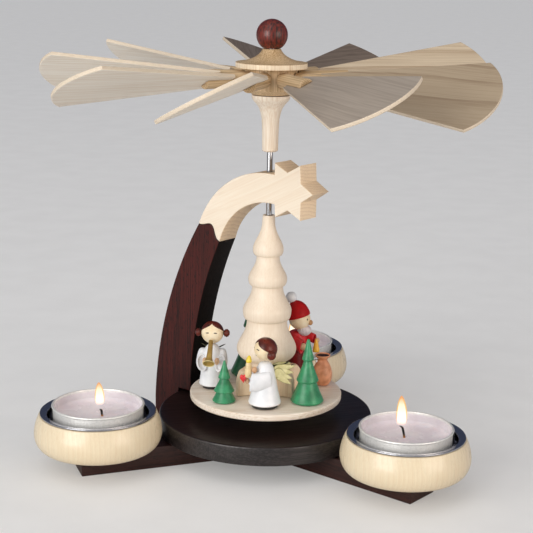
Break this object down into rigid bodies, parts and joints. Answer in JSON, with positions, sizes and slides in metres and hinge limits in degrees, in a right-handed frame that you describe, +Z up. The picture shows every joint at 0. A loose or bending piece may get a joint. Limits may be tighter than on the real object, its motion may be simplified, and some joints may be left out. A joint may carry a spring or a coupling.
{
  "type": "christmas pyramid",
  "caption": "Candle-driven wooden Christmas pyramid: a comet-shaped arch steadies a shaft with a turning plate of figures and trees and a wheel of pitched paddles over tea lights.",
  "frame": {"origin": "on the rotor's vertical axis, at the height of the table the stand rests on", "axes": "+Z up along the rotor's shaft, +X to the right and -Y towards the front, where the comet's star and the singing figures show"},
  "size_m": [0.1947, 0.1967, 0.189],
  "materials": {
    "turned lime wood": "satin clear varnish on pale turned wood",
    "stained beech": "dark red-brown stain under satin varnish",
    "waxed birch": "yellowish satin wax",
    "white lacquer": "white satin lacquer on wood",
    "green lacquer": "green satin stain on turned wood",
    "face": "pale matt wood with painted hair and eyes",
    "gold lacquer": "dull gold lacquer on wood",
    "cream lacquer": "cream lacquer with a yellow flame",
    "yellow lacquer": "pale yellow-green stain on carved wood",
    "red lacquer": "red satin lacquer on wood",
    "brown stain": "reddish brown stain showing the grain",
    "dark bush": "dark smooth plastic",
    "polished steel": "polished",
    "brass": "turned",
    "aluminium": "thin drawn sheet with a rolled rim",
    "paraffin wax": "translucent off-white wax"
  },
  "bodies": {
    "stand": {"leg_back": "stained beech", "leg_left": "stained beech", "leg_right": "stained beech", "base_disc": "stained beech", "pivot_cup": "brass", "arch_post": "stained beech", "arch_dowel": "turned lime wood", "comet_star": "turned lime wood", "shaft_bush": "dark bush", "candle_cup_back": "waxed birch", "candle_cup_left": "waxed birch", "candle_cup_right": "waxed birch", "candle_insert_back": "polished steel", "candle_insert_left": "polished steel", "candle_insert_right": "polished steel"},
    "tea_light_back": {"tea_shell_back": "aluminium", "tea_wax_back": "paraffin wax"},
    "tea_light_left": {"tea_shell_left": "aluminium", "tea_wax_left": "paraffin wax"},
    "tea_light_right": {"tea_shell_right": "aluminium", "tea_wax_right": "paraffin wax"},
    "rotor": {"shaft": "polished steel", "turning_plate": "turned lime wood", "stump": "turned lime wood", "middle_tree": "turned lime wood", "tree_left": "green lacquer", "tree_right": "green lacquer", "tree_back": "green lacquer", "stem": "turned lime wood", "hub": "turned lime wood", "hub_cap": "turned lime wood", "ball": "stained beech", "trumpeter_robe": "white lacquer", "trumpeter_head": "face", "trumpet": "gold lacquer", "singer_robe": "white lacquer", "singer_head": "face", "singer_candle": "cream lacquer", "singer_wings": "yellow lacquer", "gift_bringer_coat": "red lacquer", "gift_bringer_head": "face", "sack": "brown stain"},
    "paddle_1": {"vane_1": "turned lime wood", "peg_1": "turned lime wood"},
    "paddle_2": {"vane_2": "turned lime wood", "peg_2": "turned lime wood"},
    "paddle_3": {"vane_3": "turned lime wood", "peg_3": "turned lime wood"},
    "paddle_4": {"vane_4": "turned lime wood", "peg_4": "turned lime wood"},
    "paddle_5": {"vane_5": "turned lime wood", "peg_5": "turned lime wood"},
    "paddle_6": {"vane_6": "turned lime wood", "peg_6": "turned lime wood"},
    "paddle_7": {"vane_7": "turned lime wood", "peg_7": "turned lime wood"},
    "paddle_8": {"vane_8": "turned lime wood", "peg_8": "turned lime wood"},
    "paddle_9": {"vane_9": "turned lime wood", "peg_9": "turned lime wood"}
  },
  "joints": [
    {"name": "tea_light_back_lift", "type": "slide", "parent": "stand", "child": "tea_light_back", "axis": [0, 0, 1], "range_m": [0, 0.03]},
    {"name": "tea_light_left_lift", "type": "slide", "parent": "stand", "child": "tea_light_left", "axis": [0, 0, 1], "range_m": [0, 0.03]},
    {"name": "tea_light_right_lift", "type": "slide", "parent": "stand", "child": "tea_light_right", "axis": [0, 0, 1], "range_m": [0, 0.03]},
    {"name": "rotor_turn", "type": "hinge", "parent": "stand", "child": "rotor", "pos_m": [0, 0, 0.0158], "axis": [0, 0, 1], "continuous": true},
    {"name": "paddle_1_pitch", "type": "hinge", "parent": "rotor", "child": "paddle_1", "pos_m": [0, 0, 0.1645], "axis": [0.9174, -0.397, -0.0262], "range_deg": [-30, 50]},
    {"name": "paddle_2_pitch", "type": "hinge", "parent": "rotor", "child": "paddle_2", "pos_m": [0, 0, 0.1645], "axis": [0.9777, 0.2096, 0.0087], "range_deg": [-30, 50]},
    {"name": "paddle_3_pitch", "type": "hinge", "parent": "rotor", "child": "paddle_3", "pos_m": [0, 0, 0.1645], "axis": [0.5793, 0.8151, -0.0087], "range_deg": [-30, 50]},
    {"name": "paddle_4_pitch", "type": "hinge", "parent": "rotor", "child": "paddle_4", "pos_m": [0, 0, 0.1645], "axis": [-0.0453, 0.9981, 0.0419], "range_deg": [-30, 50]},
    {"name": "paddle_5_pitch", "type": "hinge", "parent": "rotor", "child": "paddle_5", "pos_m": [0, 0, 0.1645], "axis": [-0.7022, 0.712, 0], "range_deg": [-30, 50]},
    {"name": "paddle_6_pitch", "type": "hinge", "parent": "rotor", "child": "paddle_6", "pos_m": [0, 0, 0.1645], "axis": [-0.9947, 0.1028, -0.0087], "range_deg": [-30, 50]},
    {"name": "paddle_7_pitch", "type": "hinge", "parent": "rotor", "child": "paddle_7", "pos_m": [0, 0, 0.1645], "axis": [-0.8231, -0.5678, 0], "range_deg": [-30, 50]},
    {"name": "paddle_8_pitch", "type": "hinge", "parent": "rotor", "child": "paddle_8", "pos_m": [0, 0, 0.1645], "axis": [-0.2723, -0.9622, 0.0052], "range_deg": [-30, 50]},
    {"name": "paddle_9_pitch", "type": "hinge", "parent": "rotor", "child": "paddle_9", "pos_m": [0, 0, 0.1645], "axis": [0.4321, -0.9018, -0.0087], "range_deg": [-30, 50]}
  ]
}
